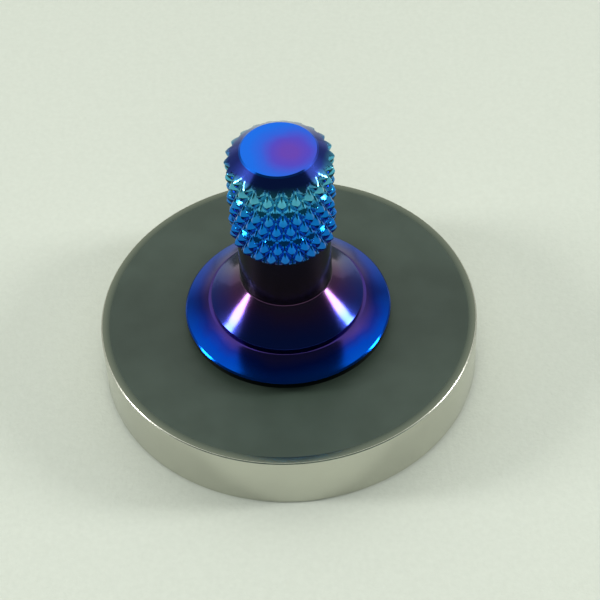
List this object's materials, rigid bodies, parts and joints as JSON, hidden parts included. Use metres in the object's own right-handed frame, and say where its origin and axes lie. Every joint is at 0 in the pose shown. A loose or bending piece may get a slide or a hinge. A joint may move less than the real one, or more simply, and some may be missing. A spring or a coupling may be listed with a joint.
{
  "type": "light up spinning top",
  "caption": "Turned metal spinning top with a knurled anodised grip, a smoked face over sealed lamps and a ceramic ball tip.",
  "frame": {"origin": "lowest point of the ball tip, on the spin axis", "axes": "+Z is the spin axis and points up the grip; +X points at the first button cell"},
  "size_m": [0.04, 0.04, 0.0321],
  "materials": {
    "steel": "satin",
    "cover_steel": "satin",
    "smoked_window": "satin",
    "cushion_rubber": "matte",
    "ball_ceramic": "polished",
    "anodised_flange": "anodised",
    "anodised_grip": "anodised",
    "board": "solder mask",
    "lamp": "moulded",
    "chip": "moulded",
    "carrier_plastic": "moulded",
    "cell_steel": "plated",
    "contact_metal": "bright",
    "weight_brass": "turned"
  },
  "bodies": {
    "top": {"flywheel_ring": "steel", "base_cover": "cover_steel", "face_window": "smoked_window", "board_cushion": "cushion_rubber", "tip_ball": "ball_ceramic", "flange": "anodised_flange", "grip": "anodised_grip", "circuit_board": "board", "led_1": "lamp", "led_2": "lamp", "led_3": "lamp", "led_4": "lamp", "led_5": "lamp", "led_6": "lamp", "controller_chip": "chip", "resistor_1": "chip", "resistor_2": "chip", "resistor_3": "chip", "cell_carrier": "carrier_plastic", "cell_1": "cell_steel", "cell_2": "cell_steel", "link_plate": "contact_metal", "cell_finger_1": "contact_metal", "cell_finger_2": "contact_metal", "switch_contact_1": "contact_metal", "switch_contact_2": "contact_metal", "switch_spring_1": "contact_metal", "switch_spring_2": "contact_metal"},
    "switch_weight_1": {"switch_weight_1": "weight_brass"},
    "switch_weight_2": {"switch_weight_2": "weight_brass"}
  },
  "joints": [
    {"name": "switch_slide_1", "type": "slide", "parent": "top", "child": "switch_weight_1", "axis": [0, 1, 0], "range_m": [0, 0.0006], "stiffness_N_per_m": 1.5, "springref_m": -0.0004, "deforming": ["switch_spring_1"]},
    {"name": "switch_slide_2", "type": "slide", "parent": "top", "child": "switch_weight_2", "axis": [0, -1, 0], "range_m": [0, 0.0006], "stiffness_N_per_m": 1.5, "springref_m": -0.0004, "deforming": ["switch_spring_2"]}
  ]
}
